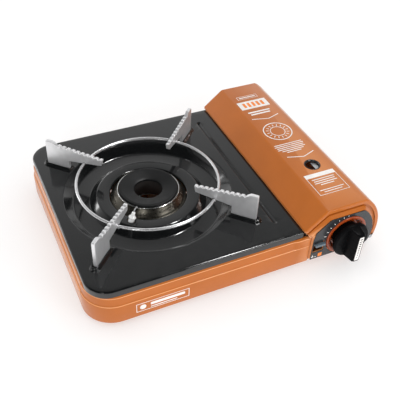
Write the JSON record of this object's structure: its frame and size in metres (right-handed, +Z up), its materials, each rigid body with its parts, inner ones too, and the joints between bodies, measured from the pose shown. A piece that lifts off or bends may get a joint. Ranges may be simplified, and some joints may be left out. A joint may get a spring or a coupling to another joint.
{
  "type": "portable gas stove",
  "caption": "Portable gas stove with a pressed steel body, recessed drip pan, ring burner, lift-off pan support, hinged canister lid, turn knob and lock lever.",
  "frame": {"origin": "bottom centre of the bounding box, on the table under the feet", "axes": "+X to the right, towards the canister bay; -Y to the front, where the knob is; +Z up"},
  "size_m": [0.3528, 0.3012, 0.0893],
  "materials": {
    "orange_paint": "metallic orange baked enamel, satin gloss",
    "black_enamel": "black vitreous enamel, glossy",
    "black_plastic": "moulded heat-resistant plastic, satin",
    "chrome_wire": "bright plating",
    "zinc_steel": "zinc-plated sheet",
    "aluminium": "plain light grey metal, satin",
    "brass": "turned, satin",
    "rubber": "matt",
    "ceramic": "white glazed ceramic",
    "silicone_lead": "matt silicone insulation"
  },
  "bodies": {
    "body": {"bottom_tray": "orange_paint", "front_panel": "orange_paint", "back_panel": "orange_paint", "foot_front_left": "rubber", "foot_front_right": "rubber", "foot_back_left": "rubber", "foot_back_right": "rubber", "drip_pan": "black_enamel", "partition": "zinc_steel", "control_end": "orange_paint", "rear_end": "orange_paint", "fascia": "black_plastic", "knob_collar": "orange_paint", "burner_cap": "black_enamel", "burner_body": "aluminium", "burner_skirt": "chrome_wire", "burner_stand": "zinc_steel", "mixing_tube": "zinc_steel", "air_shutter": "zinc_steel", "gas_jet": "brass", "jet_bracket": "zinc_steel", "gas_pipe": "brass", "electrode_insulator": "ceramic", "electrode_tip": "zinc_steel", "electrode_bracket": "zinc_steel", "ignition_lead": "silicone_lead", "piezo_igniter": "black_plastic", "regulator": "aluminium", "regulator_bracket": "zinc_steel", "canister_socket": "brass", "canister_cradle": "zinc_steel", "lever_bracket": "zinc_steel", "hinge_pin_front": "zinc_steel", "hinge_pin_back": "zinc_steel"},
    "lid": {"canister_lid": "orange_paint"},
    "knob": {"knob": "black_plastic", "spindle": "zinc_steel"},
    "lock_lever": {"lock_lever": "zinc_steel", "lever_tip": "aluminium"},
    "pusher": {"pusher": "zinc_steel"},
    "pan_support": {"trivet_ring": "chrome_wire", "trivet_plate_back_right": "aluminium", "trivet_plate_back_left": "aluminium", "trivet_plate_front_left": "aluminium", "trivet_plate_front_right": "aluminium"}
  },
  "joints": [
    {"name": "lid_hinge", "type": "hinge", "parent": "body", "child": "lid", "pos_m": [0.16905, 0.0144, 0.015], "axis": [0, 1, 0], "range_deg": [0, 95]},
    {"name": "knob_turn", "type": "hinge", "parent": "body", "child": "knob", "pos_m": [0.12705, -0.1206, 0.0365], "axis": [0, -1, 0], "range_deg": [0, 100]},
    {"name": "lock_lever_turn", "type": "hinge", "parent": "body", "child": "lock_lever", "pos_m": [0.08155, -0.0986, 0.021], "axis": [1, 0, 0], "range_deg": [0, 20]},
    {"name": "pusher_slide", "type": "slide", "parent": "body", "child": "pusher", "axis": [0, -1, 0], "range_m": [0, 0.0053]},
    {"name": "pan_support_lift", "type": "slide", "parent": "body", "child": "pan_support", "axis": [0, 0, 1], "range_m": [0, 0.06]}
  ],
  "couplings": [
    {"joint": "pusher_slide", "follows": "lock_lever_turn", "m_per_rad": 0.015}
  ]
}
